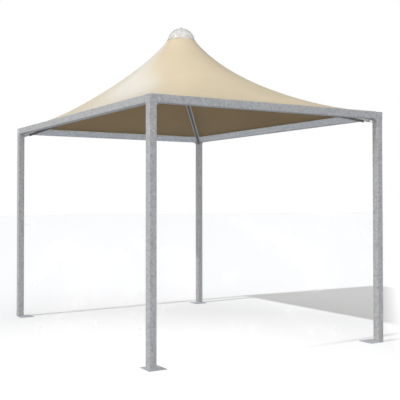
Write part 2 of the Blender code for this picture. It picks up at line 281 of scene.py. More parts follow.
# %% [markdown]
# ## Patterns that several finishes share
#
# Zinc crystals, fine grain and rain marks turn up on more than one surface. Each is built once as a node
# group with named sockets and used with its own values in each material, which is easier to keep
# in step than copies of the same nodes. They read Object coordinates, which are metres on the real thing.
#
# Hot-dip zinc freezes in crystals of a few millimetres to a few centimetres, under soft clouds where
# the bath drained. Voronoi cells with a random tone each stand for the crystals, and two sizes of noise
# for the clouds.

# %% Zinc crystals
SMALL_SHARE = 0.55                # of the small crystals beside the wide ones
CLOUD_SHARE = 0.42                # of the clouds beside the crystals
WIDE_SCALE = 0.42                 # of the wide crystals' pattern beside the small ones'
WOBBLE = (0.012,) * 3             # how far the crystals' edges wander

zinc_bloom, zinc_in, zinc_out = new_group(
    "Zinc bloom", [("Crystal", 96.0), ("Cloud", 34.0)], ["Tone", "Relief"])
spot = place(zinc_bloom)
clouds = noise(zinc_bloom, spot, zinc_in.outputs["Cloud"], 4.0, 0.6).outputs["Fac"]
wander = noise(zinc_bloom, spot, 90.0, 1.0).outputs["Color"]
bent = add(zinc_bloom, "VectorMath", [(0, wander), (1, WOBBLE)], operation="MULTIPLY").outputs[0]
bent = add(zinc_bloom, "VectorMath", [(0, bent), (1, spot)], operation="ADD").outputs[0]
wide_crystal = math_node(zinc_bloom, "MULTIPLY", zinc_in.outputs["Crystal"], WIDE_SCALE)
crystals = []
for scale, channel in ((zinc_in.outputs["Crystal"], 0), (wide_crystal, 1)):
    cells = add(zinc_bloom, "TexVoronoi", [("Vector", bent), ("Scale", scale)]).outputs["Color"]
    crystals.append(add(zinc_bloom, "SeparateColor", [("Color", cells)]).outputs[channel])
mixed = math_node(zinc_bloom, "ADD", math_node(zinc_bloom, "MULTIPLY", crystals[0], SMALL_SHARE),
                  math_node(zinc_bloom, "MULTIPLY", crystals[1], 1 - SMALL_SHARE))
tone = math_node(zinc_bloom, "ADD", remap(zinc_bloom, clouds, 0.3, 0.7, 0.0, CLOUD_SHARE),
                 math_node(zinc_bloom, "MULTIPLY", mixed, 1 - CLOUD_SHARE))
wire(zinc_bloom, zinc_out, Tone=tone, Relief=mixed)
print("zinc bloom:", len(zinc_bloom.nodes), "nodes")

# %% [markdown]
# Fine grain breaks up gloss: no real surface has one roughness all over. Rain marks are long thin
# streaks that run down, and splash dust gathers near the ground.

# %% Fine grain and rain marks
fine_grain, grain_in, grain_out = new_group(
    "Fine grain", [("Size", 400.0), ("Patch", 9.0)], ["Grain", "Patches"])
spot = place(fine_grain)
fine = noise(fine_grain, spot, grain_in.outputs["Size"], 2.0).outputs["Fac"]
patch = noise(fine_grain, spot, grain_in.outputs["Patch"], 3.0).outputs["Fac"]
wire(fine_grain, grain_out, Grain=fine, Patches=remap(fine_grain, patch, 0.3, 0.7))

rain_marks, rain_in, rain_out = new_group(
    "Rain marks", [("Width", 60.0), ("Splash Height", 0.35)], ["Streaks", "Splash"])
streak = noise(rain_marks, place(rain_marks, (1, 1, 0.05)), rain_in.outputs["Width"], 2.0).outputs["Fac"]
low_part = remap(rain_marks, object_height(rain_marks), 0.0, rain_in.outputs["Splash Height"], 1.0, 0.0)
speckle = noise(rain_marks, place(rain_marks), 45.0, 3.0).outputs["Fac"]
splash = math_node(rain_marks, "MULTIPLY", low_part, remap(rain_marks, speckle, 0.4, 0.7), clamp=True)
wire(rain_marks, rain_out, Streaks=remap(rain_marks, streak, 0.52, 0.75), Splash=splash)
print("fine grain and rain marks ready")

# %% [markdown]
# ## Galvanised steel
#
# The tube is bluish grey, mottled and dull. Zinc is a metal, but its grey bloom scatters light like
# paint, so the metallic value stays low and the roughness high. The base plates are bluer and cleaner,
# and the knob, which is turned, came out of the bath much paler. The straps take a much paler copy of
# the tube's zinc: painted light, which brightens their shaded undersides.

# %% Galvanised steel
def use(tree, group, **inputs):
    """Place a node group in a material with its own values."""
    node = add(tree, "Group", node_tree=group)
    set_inputs(node, inputs)
    return node


def blend_colours(tree, amount, first, second):
    ends = [(*colour, 1) if isinstance(colour, tuple) else colour for colour in (first, second)]
    return add(tree, "Mix", [("Factor", amount), (6, ends[0]), (7, ends[1])], data_type="RGBA").outputs[2]


def relief(tree, shader, height, strength, distance):
    bump = add(tree, "Bump", [("Height", height), ("Strength", strength), ("Distance", distance)])
    wire(tree, shader, Normal=bump.outputs["Normal"])


def galvanised(name, dark, light, dust=0.35):
    """Zinc in two tones, with splash dust at the feet and a few rain streaks."""
    material, tree, shader = new_material(name, Metallic=0.10, Specular_IOR_Level=0.2)
    bloom = use(tree, zinc_bloom)
    marks = use(tree, rain_marks)
    grain = use(tree, fine_grain, Size=260.0, Patch=14.0)
    colour = blend_colours(tree, bloom.outputs["Tone"], dark, light)
    streaks = math_node(tree, "MULTIPLY", marks.outputs["Streaks"], 0.12)
    colour = blend_colours(tree, streaks, colour, tuple(v * 0.72 for v in dark))
    dusty = math_node(tree, "MULTIPLY", marks.outputs["Splash"], dust)
    colour = blend_colours(tree, dusty, colour, (0.30, 0.27, 0.23))
    rough = remap(tree, bloom.outputs["Tone"], 0.0, 1.0, 0.62, 0.42)
    wire(tree, shader, Base_Color=colour, Roughness=rough)
    height = math_node(tree, "ADD", bloom.outputs["Relief"], math_node(
        tree, "MULTIPLY", grain.outputs["Grain"], 0.6))
    relief(tree, shader, height, 0.16, 0.0008)
    return material


steel = galvanised("galvanised_steel", (0.206, 0.215, 0.233), (0.426, 0.443, 0.474))
plate_steel = galvanised("plate_steel", (0.212, 0.235, 0.278), (0.448, 0.488, 0.568), dust=0.08)
# The straps' pale tones are painted light: the tube's zinc, brightened so that their shaded undersides
# look lit.
strap_steel_painted_light = galvanised("strap_steel_painted_light", (0.41, 0.416, 0.42), (0.75, 0.76, 0.77))
print("made", steel.name, plate_steel.name, "and", strap_steel_painted_light.name)

# %% [markdown]
# ## Dark steel and aluminium
#
# The rafter struts are nearly black, with a satin coat that has gone dull in patches. The rails are
# plain extruded aluminium; here their finish is a fine grain with paler patches, without the lines that
# run along a real extrusion.

# %% Dark steel and aluminium
dark_steel, tree, shader = new_material("dark_steel", Metallic=0.3, Base_Color=(0.03, 0.03, 0.034, 1))
grain = use(tree, fine_grain, Size=320.0, Patch=12.0)
colour = blend_colours(tree, grain.outputs["Patches"], (0.058, 0.060, 0.066), (0.120, 0.124, 0.132))
rough = remap(tree, grain.outputs["Patches"], 0, 1, 0.38, 0.55)
wire(tree, shader, Base_Color=colour, Roughness=rough)
relief(tree, shader, grain.outputs["Grain"], 0.15, 0.0004)

aluminium, tree, shader = new_material("aluminium", Metallic=0.85)
grain = use(tree, fine_grain, Size=500.0, Patch=20.0)
colour = blend_colours(tree, grain.outputs["Patches"], (0.66, 0.66, 0.65), (0.78, 0.78, 0.77))
rough = remap(tree, grain.outputs["Grain"], 0.3, 0.7, 0.28, 0.44)
wire(tree, shader, Base_Color=colour, Roughness=rough)
relief(tree, shader, grain.outputs["Grain"], 0.1, 0.0003)
print("made", dark_steel.name, "and", aluminium.name)

# %% [markdown]
# ## Give the CAD nodes their finish
#
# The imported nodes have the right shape, so they stay and only change material. Their names say which
# finish each one takes.

# %% Finish the CAD nodes
DARK_NODES = [n for n in nodes if n.startswith("rafter_") and "strap" not in n and "seat" not in n]
ALUMINIUM_NODES = [n for n in nodes if n.startswith("rail_") or n == "clamp_ring"]
SOFT_NODES = ["canopy", "dome_cap"]


def paint_node(name, material):
    mesh = nodes[name].data
    mesh.materials.clear()
    mesh.materials.append(material)


for name in nodes:
    if name in DARK_NODES:
        paint_node(name, dark_steel)
    elif name in ALUMINIUM_NODES:
        paint_node(name, aluminium)
    # The straps take the paler zinc, whose extra brightness is painted light.
    elif name.startswith("rafter_strap_"):
        paint_node(name, strap_steel_painted_light)
    elif name.startswith("base_plate_"):
        paint_node(name, plate_steel)
    elif name not in SOFT_NODES:
        paint_node(name, steel)
print(len(DARK_NODES), "dark nodes,", len(ALUMINIUM_NODES), "aluminium nodes")

# %% [markdown]
# ## The membrane roof
#
# The real roof is one coated fabric, cut so that it is in tension all over: it runs straight along the
# four rails and rises to a ring, steep at the ring and flat at the edges. Pulling a cloth simulation into
# this shape would take long and leave small folds. The height of such a stretched sheet follows from
# a short sum of terms, each in balance on its own, and a fit of their weights keeps the edge level.

# %% The shape of a stretched sheet
HALF_X, HALF_Y = 1.4385, 1.9385   # the sheet's edge, in the rails
EDGE_HEIGHT = 2.628
RING_RADIUS, RING_HEIGHT = 0.1405, 3.692
SIDE_PULL = 0.46                  # pull round the roof as a share of the pull up to the ring
WAVES = 10
FIT_STEPS = 40                    # places along each side where the edge has to be level
REACH = math.hypot(HALF_X, HALF_Y)
CORNER = math.atan2(HALF_Y, HALF_X)


def edge_distance(angle):
    """From the axis to the sheet's edge, in a direction."""
    return min(HALF_X / max(abs(math.cos(angle)), 1e-9), HALF_Y / max(abs(math.sin(angle)), 1e-9))


def sheet_terms(radius, angle):
    """Heights, each zero at the ring, that a sheet in tension can take in any mix."""
    power = 1 - SIDE_PULL
    terms = [(radius / REACH) ** power - (RING_RADIUS / REACH) ** power]
    for wave in range(1, WAVES + 1):
        turns = 2 * wave
        root = math.sqrt(power ** 2 + 4 * SIDE_PULL * turns ** 2)
        rise, fall = (power + root) / 2, (power - root) / 2
        swell = ((radius / REACH) ** rise
                 - (RING_RADIUS / REACH) ** rise * (radius / RING_RADIUS) ** fall)
        terms.append(swell * math.cos(turns * angle))
    return terms


def directions(steps):
    """Angles from corner to corner, with a number of steps along each side."""
    stops = [-CORNER, CORNER, math.pi - CORNER, math.pi + CORNER, 2 * math.pi - CORNER]
    return [a + (b - a) * k / steps for a, b in zip(stops, stops[1:]) for k in range(steps)]


angles = directions(FIT_STEPS)
table = np.array([sheet_terms(edge_distance(a), a) for a in angles])
drop = np.full(len(angles), EDGE_HEIGHT - RING_HEIGHT)
weights = np.linalg.lstsq(table, drop, rcond=None)[0]


def sheet_height(radius, angle):
    return RING_HEIGHT + float(np.dot(sheet_terms(radius, angle), weights))


print("height half way to the front:", round(sheet_height(HALF_Y / 2, -math.pi / 2), 3), "m")

# %% [markdown]
# The sheet itself starts as a flat grid, as one would lay out a net: its long side becomes the way round
# and its short side the way down. Each point of the grid is then carried to its place on the roof, and the
# two ends are merged. The grid's UV map stays with it.

# %% Carry a grid onto the roof
SIDE_STEPS = 44                   # columns along each side
RISE_STEPS = 56                   # rows from the ring to the edge
CROWDING = 1.3                    # over 1 sets the rows closer towards the ring
COLLAR = 0.118                    # inner edge of the flat collar, between the two rings
TUCK = 1.0032                     # the last row lies this much further out, in the rails' grooves
HEM_WIDTH = 0.034
HEM_LIFT = 0.0009                 # how far the doubled cloth of the hem stands proud
HEM_STEP = 0.001                  # half the step up to the hem, as a share of the way down
SHEET_THICKNESS = 0.0016

angles = directions(SIDE_STEPS)
columns = len(angles)
hem_share = 1 - HEM_WIDTH / HALF_X
shares = [(k / RISE_STEPS) ** CROWDING for k in range(RISE_STEPS + 1)]
shares = [s for s in shares if s < hem_share - 6 * HEM_STEP]
shares += [hem_share - HEM_STEP, hem_share + HEM_STEP, 0.99, 1.0]
rows = 2 + len(shares)

nothing_selected()
bpy.ops.mesh.primitive_grid_add(x_subdivisions=columns, y_subdivisions=rows - 1, size=1,
                                calc_uvs=True)
membrane = new_piece("membrane_roof")
for vertex in membrane.data.vertices:
    column = round((vertex.co.x + 0.5) * columns)
    row = round((vertex.co.y + 0.5) * (rows - 1))
    angle = angles[column % columns]
    if row == 0:
        radius, height = COLLAR, RING_HEIGHT
    else:
        share = shares[min(row, len(shares)) - 1]
        radius = RING_RADIUS + (edge_distance(angle) - RING_RADIUS) * share
        height = sheet_height(radius, angle) if share < 1 else EDGE_HEIGHT
        if share > hem_share:
            height += HEM_LIFT
        if row > len(shares):
            radius *= TUCK
    vertex.co = (radius * math.cos(angle), radius * math.sin(angle), height)
print(len(membrane.data.vertices), "points,", rows, "rows of", columns)

# %% Close the sheet, give it thickness and measure it
bpy.ops.object.mode_set(mode="EDIT")
bpy.ops.mesh.select_all(action="SELECT")
bpy.ops.mesh.remove_doubles(threshold=0.00005)
bpy.ops.mesh.normals_make_consistent(inside=False)
bpy.ops.object.mode_set(mode="OBJECT")
upwards = sum(face.normal.z * face.area for face in membrane.data.polygons)
if upwards < 0:
    membrane.data.flip_normals()
for side in ("membrane_outside", "membrane_inside_painted_shade"):
    membrane.data.materials.append(bpy.data.materials.new(side))
skin = membrane.modifiers.new("thickness", "SOLIDIFY")
skin.thickness = SHEET_THICKNESS
skin.offset = -1
skin.material_offset = 1
skin.material_offset_rim = 0
bpy.ops.object.modifier_apply(modifier=skin.name)
bpy.ops.object.shade_smooth_by_angle(angle=math.radians(40))

# %% [markdown]
# ## The membrane's finish
#
# Outside, the coated polyester is a warm beige with a slight gloss, so that a low light leaves a broad
# pale sheen. Inside, the same cloth is given a dark olive brown: painted shade for the face that takes
# light from below only. The weave of the base cloth shows as a faint relief of crossed threads.

# %% Membrane materials
RING_SHADE_BAND = (3.02, 3.42)          # heights between which the cloth is painted darker: painted shade


def woven(slot_number, pale, deep, shade_at_ring=0.0, thread=420.0, **values):
    """The finish of one face of the cloth, in the material that the sheet already has there.

    shade_at_ring is how much darker it is painted up at the ring: painted shade on the steep cloth there."""
    material = membrane.data.materials[slot_number]
    material.use_nodes = True
    tree = material.node_tree
    shader = tree.nodes["Principled BSDF"]
    set_inputs(shader, values)
    grain = use(tree, fine_grain, Size=90.0, Patch=2.6)
    colour = blend_colours(tree, grain.outputs["Patches"], pale, deep)
    # Painted shade: the cloth's colour turns darker up at the ring.
    ring_shade = remap(tree, object_height(tree), *RING_SHADE_BAND, 0.0, shade_at_ring)
    colour = blend_colours(tree, ring_shade, colour, tuple(v * 0.5 for v in deep))
    wire(tree, shader, Base_Color=colour)
    spot = place(tree)
    threads = []
    for axis in ("X", "Y"):
        wave = add(tree, "TexWave", [("Vector", spot), ("Scale", thread / (2 * math.pi))],
                   bands_direction=axis)
        threads.append(wave.outputs["Fac"])
    weave = math_node(tree, "MULTIPLY", threads[0], threads[1])
    relief(tree, shader, weave, 0.08, 0.0004)
    return material


membrane_outside = woven(0, (0.742, 0.636, 0.449), (0.713, 0.609, 0.426), shade_at_ring=0.22,
                         Roughness=0.32)
# The inside's dark olive brown is painted shade: a darkened copy of the cloth's colour, for the light that
# only comes from below.
membrane_inside_painted_shade = woven(1, (0.250, 0.181, 0.096), (0.232, 0.168, 0.090), Roughness=0.7,
                        Specular_IOR_Level=0.2)
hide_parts("canopy")
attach(membrane, "root")
print("membrane finished")

# %% [markdown]
# ## Tools for turned and drawn pieces
#
# Domes, knobs, bolts and rings are round about one axis. Here a circle is drawn out ring by ring, as on a
# lathe: each ring is extruded, scaled and moved along a list of radius and height. A rail is a section
# pulled along a line, so a circle is bent into the section first. Both keep clean quads.

# %% Turned pieces
TINY = 1e-5


def bottom(name):
    """Height of a CAD node's lowest point."""
    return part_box(name)[0][2]


def top(name):
    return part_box(name)[1][2]


def own_place(piece, matrix=None):
    """Put a piece's place into its mesh, so that the object itself sits at the origin."""
    piece.data.transform(piece.matrix_world if matrix is None else matrix)
    piece.matrix_world = Matrix.Identity(4)


def in_edit_mode(piece):
    nothing_selected()
    bpy.context.view_layer.objects.active = piece
    piece.select_set(True)
    bpy.ops.object.mode_set(mode="EDIT")
    bpy.ops.mesh.select_all(action="SELECT")


def close_up(piece, smooth=35):
    """Merge doubles, close open ends, point the faces out and smooth all but the sharp edges."""
    in_edit_mode(piece)
    bpy.ops.mesh.remove_doubles(threshold=TINY)
    bpy.ops.mesh.select_all(action="DESELECT")
    bpy.ops.mesh.select_mode(type="EDGE")
    bpy.ops.mesh.select_non_manifold()
    bpy.ops.mesh.fill_holes(sides=0)
    bpy.ops.mesh.select_all(action="SELECT")
    bpy.ops.mesh.normals_make_consistent(inside=False)
    bpy.ops.object.mode_set(mode="OBJECT")
    bpy.ops.object.shade_smooth_by_angle(angle=math.radians(smooth))


def turned(name, profile, steps=48):
    """A round piece about the Z axis, drawn up from its first ring of (radius, height)."""
    (radius, height), others = profile[0], profile[1:]
    nothing_selected()
    bpy.ops.mesh.primitive_circle_add(vertices=steps, radius=radius, location=(0, 0, height))
    piece = new_piece(name)
    own_place(piece)
    in_edit_mode(piece)
    for next_radius, next_height in others:
        bpy.ops.mesh.extrude_region_move(
            TRANSFORM_OT_translate={"value": (0, 0, next_height - height)})
        factor = max(next_radius, TINY / 10) / radius
        bpy.ops.transform.resize(value=(factor, factor, 1), center_override=(0, 0, next_height))
        radius, height = max(next_radius, TINY / 10), next_height
    close_up(piece)
    return piece


def dress(piece, material, replaces=None):
    """Give a piece its finish, hang it on the root body and hide the CAD node that it replaces."""
    piece.data.materials.clear()
    piece.data.materials.append(material)
    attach(piece, "root")
    if replaces:
        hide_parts(replaces)
    return piece


def copies(piece, placed):
    """One copy with its own mesh for each (name, matrix); the pattern itself is removed."""
    made = []
    for name, matrix in placed:
        twin = piece.copy()
        twin.data = piece.data.copy()
        twin.name = twin.data.name = name
        twin.data.transform(matrix)
        if matrix.determinant() < 0:
            twin.data.flip_normals()
        bpy.context.scene.collection.objects.link(twin)
        made.append(twin)
    bpy.data.objects.remove(piece, do_unlink=True)
    return made


print("tools for turned pieces ready")

# %% [markdown]
# ## Clear dome
#
# A blown acrylic dome keeps rain out of the ring. Its wall has real thickness, so light bends at its
# edge and draws the grey outline that one sees on such a dome. Below the rim a narrow lip follows the
# slope of the cloth and throws the water clear of the ring; wall and lip are turned in one profile.
# The acrylic is slightly milky.

# %% Dome shell
DOME_RADIUS, DOME_HEIGHT, DOME_WALL = 0.1708, 0.1455, 0.004
RIM_HEIGHT = bottom("dome_cap")
DOME_STEPS = 22
# The lip's outline from its inner foot, round its edge and back to the wall: radius, height over the rim
LIP = [(0.1800, -0.0158), (0.1815, -0.0157), (0.1823, -0.0146), (0.1818, -0.0132), (0.1714, -0.0008)]


def dome_curve(radius, height):
    """Points up a spherical cap, from its rim to its top."""
    ball = (radius ** 2 + height ** 2) / (2 * height)
    centre = RIM_HEIGHT + height - ball
    rim = math.asin((RIM_HEIGHT - centre) / ball)
    turns = [rim + (math.pi / 2 - rim) * k / DOME_STEPS for k in range(DOME_STEPS + 1)]
    return [(ball * math.cos(t), centre + ball * math.sin(t)) for t in turns]


outer = dome_curve(DOME_RADIUS, DOME_HEIGHT)
inner = dome_curve(DOME_RADIUS - DOME_WALL, DOME_HEIGHT - DOME_WALL)
acrylic, tree, shader = new_material("clear_acrylic", IOR=1.49, Transmission_Weight=0.62)
grain = use(tree, fine_grain, Size=60.0, Patch=18.0)
colour = blend_colours(tree, grain.outputs["Patches"], (0.90, 0.90, 0.89), (0.96, 0.96, 0.955))
rough = remap(tree, grain.outputs["Grain"], 0.3, 0.7, 0.10, 0.18)
wire(tree, shader, Base_Color=colour, Roughness=rough)
lip = [(radius, RIM_HEIGHT + up) for radius, up in LIP]
dome = turned("clear_dome", inner[::-1] + lip + outer, steps=96)
dress(dome, acrylic, replaces="dome_cap")
print("dome", len(dome.data.polygons), "faces")

# %% [markdown]
# ## Bolts, screws and the knob
#
# Galvanised frames of this kind are bolted together on site. Each rafter's strap and seat share one
# bolt, whose head shows as a small bump from below. A bolt is one head, two washers, a nut and a shank,
# made once and copied, with chamfers that catch the light.

# %% Bolt steel
bolt_steel, tree, shader = new_material("bolt_steel", Metallic=0.7)
bloom = use(tree, zinc_bloom, Crystal=400.0, Cloud=90.0)
grain = use(tree, fine_grain, Size=900.0, Patch=60.0)
colour = blend_colours(tree, bloom.outputs["Tone"], (0.42, 0.42, 0.43), (0.66, 0.66, 0.66))
rough = remap(tree, grain.outputs["Patches"], 0, 1, 0.30, 0.48)
wire(tree, shader, Base_Color=colour, Roughness=rough)
relief(tree, shader, grain.outputs["Grain"], 0.12, 0.0002)
knob_steel = galvanised("knob_steel", (0.44, 0.45, 0.46), (0.70, 0.71, 0.72), dust=0.0)
print("made", bolt_steel.name, "and", knob_steel.name)

# %% Hexagon heads, washers and the seat bolt
HEAD_RADIUS = 0.0098              # to the corners of a 17 mm hexagon
HEAD_HEIGHT = 0.0064
NUT_HEIGHT = 0.008
WASHER_RADIUS, WASHER_THICK = 0.0102, 0.002
SHANK_RADIUS = 0.005
CHAMFER = 0.0009
GRIP = 0.0163                     # seat plate, gap and strap together
THREAD_PAST_NUT = 0.004


def hexagon(name, low, high, chamfer_low=False):
    """A six-sided head or nut between two heights, with its outer rims chamfered."""
    nothing_selected()
    bpy.ops.mesh.primitive_cylinder_add(vertices=6, radius=HEAD_RADIUS, depth=high - low,
                                        location=(0, 0, (low + high) / 2))
    piece = new_piece(name)
    own_place(piece)
    in_edit_mode(piece)
    bpy.ops.mesh.select_all(action="DESELECT")
    bpy.ops.mesh.select_mode(type="EDGE")
    build = bmesh.from_edit_mesh(piece.data)
    rims = [high] + ([low] if chamfer_low else [])
    for edge in build.edges:
        edge.select_set(any(all(abs(v.co.z - rim) < TINY for v in edge.verts) for rim in rims))
    bmesh.update_edit_mesh(piece.data)
    bpy.ops.mesh.bevel(offset=CHAMFER, segments=2)
    bpy.ops.object.mode_set(mode="OBJECT")
    return piece


def ring(name, bore, rim, low, high, steps=32):
    """A flat ring between two radii, whose outer edges are chamfered."""
    soft = min(high - low, rim - bore) * 0.18
    return turned(name, [(bore, low), (rim - soft, low), (rim, low + soft), (rim, high - soft),
                         (rim - soft, high), (bore, high), (bore, low)], steps)


def joined(name, parts):
    nothing_selected()
    for part in parts:
        part.select_set(True)
    bpy.context.view_layer.objects.active = parts[0]
    if len(parts) > 1:
        bpy.ops.object.join()
    return new_piece(name)


def flipped(piece):
    """Turn a piece upside down about its own base."""
    piece.data.transform(Matrix.Rotation(math.pi, 4, "X"))
    return piece


end = GRIP + WASHER_THICK + NUT_HEIGHT + THREAD_PAST_NUT
seat_bolt = joined("seat_bolt", [
    flipped(hexagon("head", WASHER_THICK, WASHER_THICK + HEAD_HEIGHT)),
    ring("lower_washer", SHANK_RADIUS, WASHER_RADIUS, -WASHER_THICK, 0),
    turned("shank", [(SHANK_RADIUS, -WASHER_THICK), (SHANK_RADIUS, end - CHAMFER),
                     (SHANK_RADIUS - CHAMFER, end), (0, end)], 20),
    ring("upper_washer", SHANK_RADIUS, WASHER_RADIUS, GRIP, GRIP + WASHER_THICK),
    hexagon("nut", GRIP + WASHER_THICK, GRIP + WASHER_THICK + NUT_HEIGHT, chamfer_low=True)])
print("seat bolt", len(seat_bolt.data.polygons), "faces")

# %% Set the seat bolts square to the rafters
SLOPE = 0.2623                    # of the rafters, rise for each metre run
PEAK = 3.1236                     # height of the struts' centre line, carried on to the axis
OUT_X, OUT_Y = 0.6, 0.8           # the diagonal of a plan of 3 by 4
BOLT_RUN = 2.322                  # from the axis to the bolts, along a rafter
SEAT_UNDER = 0.0057               # underside of the seat plate over the centre line
CORNERS = {"front_left": (-1, -1), "front_right": (1, -1), "back_right": (1, 1), "back_left": (-1, 1)}


def rafter_frame(sx, sy, run, lift, side=0.0):
    """A place on a rafter: X out and down along it, Z square to it, lift over its centre line."""
    out = Vector((OUT_X * sx, OUT_Y * sy, 0))
    along = Vector((out.x, out.y, -SLOPE)).normalized()
    up = Vector((SLOPE * out.x, SLOPE * out.y, 1)).normalized()
    across = up.cross(along)
    spot = out * run + Vector((0, 0, PEAK - SLOPE * run)) + Vector((0, 0, lift)) + across * side
    return Matrix.Translation(spot) @ Matrix((along, across, up)).transposed().to_4x4()


for bolt in copies(seat_bolt, [("seat_bolt_" + corner, rafter_frame(sx, sy, BOLT_RUN, SEAT_UNDER))
                               for corner, (sx, sy) in CORNERS.items()]):
    dress(bolt, bolt_steel)
print("four seat bolts set")

# %% Knob on the dome
# Radius, and height as a share of the knob's: a flange, a neck and a round head
KNOB = [(0.0160, 0), (0.0160, 0.08), (0.0150, 0.12), (0.0090, 0.14), (0.0088, 0.26), (0.0118, 0.32),
        (0.0144, 0.46), (0.0146, 0.60), (0.0128, 0.78), (0.0090, 0.91), (0.0040, 0.98), (0, 1)]
knob_base = bottom("dome_knob")
tall = top("dome_knob") - knob_base
knob = turned("dome_finial", [(radius, knob_base + tall * share) for radius, share in KNOB], 40)
dress(knob, knob_steel, replaces="dome_knob")
print("knob", round(tall * 1000, 1), "mm tall")

# %% [markdown]
# ## Screws of the clamp ring, and the mast's foot
#
# The clamp ring holds the membrane's collar with a circle of small button-head screws, seen through the
# dome. The mast stands on the hub with a round foot, a weld all round and four bolts.

# %% Screws and foot
RING_SCREWS, RING_SCREW_RADIUS = 12, 0.0055
SCREW_CIRCLE = 0.1272
FOOT_RADIUS, FOOT_HEIGHT = 0.056, 0.006
FOOT_BOLTS, FOOT_BOLT_SIZE = 4, 0.62   # size beside the seat bolts' heads
FOOT_BOLT_CIRCLE = 0.0455
MAST_RADIUS, MAST_PLAY = 0.03015, 0.0002
hub_top = top("hub")
foot_top = hub_top + FOOT_HEIGHT


def button_screw(name, radius):
    """A domed screw head with a recess, standing on z = 0."""
    shares = [(1.0, 0.0), (1.0, 0.16), (0.90, 0.36), (0.70, 0.52), (0.42, 0.60), (0.38, 0.30), (0, 0.30)]
    return turned(name, [(radius * r, radius * h) for r, h in shares], 14)


def gather(pattern, name, matrices, material):
    """Copies of a pattern in one piece."""
    parts = copies(pattern, [("part", matrix) for matrix in matrices])
    return dress(joined(name, parts), material)


def around(count, radius, height, first=0.0):
    """Places on a circle about the axis, the first one some steps round."""
    return [Matrix.Rotation(2 * math.pi * (k + first) / count, 4, "Z")
            @ Matrix.Translation((radius, 0, height)) for k in range(count)]


gather(button_screw("screw", RING_SCREW_RADIUS), "clamp_screws",
       around(RING_SCREWS, SCREW_CIRCLE, top("clamp_ring"), 0.5), bolt_steel)
dress(ring("mast_foot", MAST_RADIUS + MAST_PLAY, FOOT_RADIUS, hub_top, foot_top, 48), steel)
gather(hexagon("head", 0, HEAD_HEIGHT), "mast_foot_bolts",
       [spot @ Matrix.Scale(FOOT_BOLT_SIZE, 4) for spot in around(FOOT_BOLTS, FOOT_BOLT_CIRCLE, foot_top)],
       bolt_steel)
print(RING_SCREWS, "ring screws, one foot with", FOOT_BOLTS, "bolts")

# %% [markdown]
# ## Rails that hold the membrane's edge
#
# The membrane ends in a thin cord, and the cord slides in a groove of an extruded rail, which is how tent
# edges are held. The rail is one section pulled along a line: a flange for the screws and a round
# channel with a slot on its inner side.

# %% Rail section
RAIL_LOW = bottom("rail_front")
RAIL_OUTER = 0.0412               # from the outer face of the frame to the rail
RAIL_WIDTH, RAIL_HEIGHT = 0.0200, 0.0110
FLANGE = 0.0022
BORE = (0.0154, 0.0074)           # centre of the channel: inwards, and up from the beam
BORE_RADIUS = 0.0029
SLOT = 0.0014                     # half the slot's height
CHANNEL_RADIUS = 0.0050
EDGE, FILLET = 0.0006, 0.0008     # softening of the outer edges, and of the corner over the flange


def arc(centre, radius, first, last, steps):
    """Points round a centre, from a first to a last angle in degrees."""
    turns = [math.radians(first + (last - first) * k / steps) for k in range(steps + 1)]
    return [(centre[0] + radius * math.cos(t), centre[1] + radius * math.sin(t)) for t in turns]


mouth = math.degrees(math.asin(SLOT / BORE_RADIUS))
left_side = BORE[0] - CHANNEL_RADIUS
section = [(0, 0), (RAIL_WIDTH, 0), (RAIL_WIDTH, BORE[1] - SLOT)]
section += arc(BORE, BORE_RADIUS, -mouth, -360 + mouth, 18)
section += [(RAIL_WIDTH, BORE[1] + SLOT), (RAIL_WIDTH, RAIL_HEIGHT - 0.0012),
            (RAIL_WIDTH - EDGE, RAIL_HEIGHT - 0.0003), (RAIL_WIDTH - 0.0014, RAIL_HEIGHT)]
section += [(BORE[0] - 0.0020, RAIL_HEIGHT), (left_side + EDGE, RAIL_HEIGHT - 0.0010),
            (left_side, RAIL_HEIGHT - 0.0028)]
section += [(left_side, FLANGE + FILLET), (left_side - FILLET, FLANGE), (EDGE, FLANGE), (0, FLANGE - EDGE)]
print("rail section with", len(section), "corners")

# %% Pull the rails along the beams
HALF_WIDTH, HALF_LENGTH = 1.5, 2.0
SIDES = {                         # turn in degrees, axis to the frame's face, half the rail's length
    "front": (0, HALF_LENGTH, HALF_WIDTH - RAIL_OUTER),
    "back": (180, HALF_LENGTH, HALF_WIDTH - RAIL_OUTER),
    "left": (-90, HALF_WIDTH, HALF_Y),
    "right": (90, HALF_WIDTH, HALF_Y)}
CORD_PLAY, CORD_END = 0.0002, 0.004    # between cord and bore, and from its end to the rail's


def drawn_section(name, outline, half_length):
    """A section in the YZ plane, pulled along X."""
    nothing_selected()
    bpy.ops.mesh.primitive_circle_add(vertices=len(outline), fill_type="NGON")
    piece = new_piece(name)
    for vertex, (inward, up) in zip(piece.data.vertices, outline):
        vertex.co = (-half_length, inward, up)
    in_edit_mode(piece)
    bpy.ops.mesh.extrude_region_move(TRANSFORM_OT_translate={"value": (2 * half_length, 0, 0)})
    close_up(piece, 30)
    return piece


def side_place(side, inward=0.0, up=0.0):
    """The middle of a side's rail, with X along it and Y inwards."""
    turn, half, _ = SIDES[side]
    return Matrix.Rotation(math.radians(turn), 4, "Z") @ Matrix.Translation(
        (0, -half + RAIL_OUTER + inward, RAIL_LOW + up))


cords = []
cord_section = arc((0, 0), BORE_RADIUS - CORD_PLAY, 0, 330, 11)
for side, (_, _, reach) in SIDES.items():
    rail = drawn_section("keder_rail_" + side, section, reach)
    own_place(rail, side_place(side))
    dress(rail, aluminium, replaces="rail_" + side)
    cord = drawn_section("edge_cord_" + side, cord_section, reach - CORD_END)
    own_place(cord, side_place(side, *BORE))
    cords.append(dress(cord, membrane_outside))
print("four rails and their cords")

